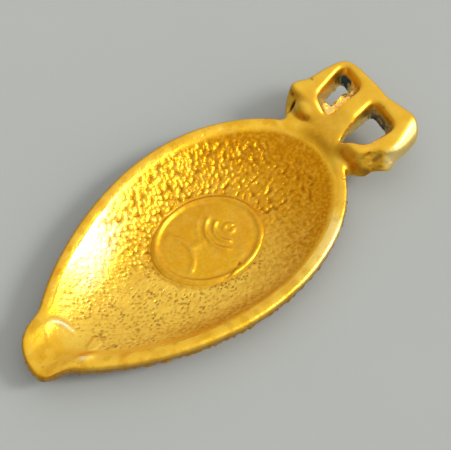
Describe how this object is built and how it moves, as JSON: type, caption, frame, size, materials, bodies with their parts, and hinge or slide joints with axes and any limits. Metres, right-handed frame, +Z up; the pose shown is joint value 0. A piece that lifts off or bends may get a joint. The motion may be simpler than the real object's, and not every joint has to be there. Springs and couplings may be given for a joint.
{
  "type": "oil lamp",
  "caption": "Shallow almond-shaped cast metal oil lamp dish with a crowned rim, a pinched wick spout, an oval floor medallion and a raised open loop handle.",
  "frame": {"origin": "middle of the bounding box, on the table the lamp rests on", "axes": "+X towards the handle, -X towards the wick spout, +Y across the bowl, +Z up"},
  "size_m": [0.1178, 0.0544, 0.0149],
  "materials": {
    "cast_brass": "polished golden cast brass, smooth crowned rim, stippled inside and underside",
    "relief_brass": "worn satin brass with a low relief",
    "handle_brass": "hand-polished brass with dark green-black patina left in the openings"
  },
  "bodies": {
    "root": {"bowl": "cast_brass", "medallion": "relief_brass", "loop_handle": "handle_brass"}
  },
  "joints": []
}
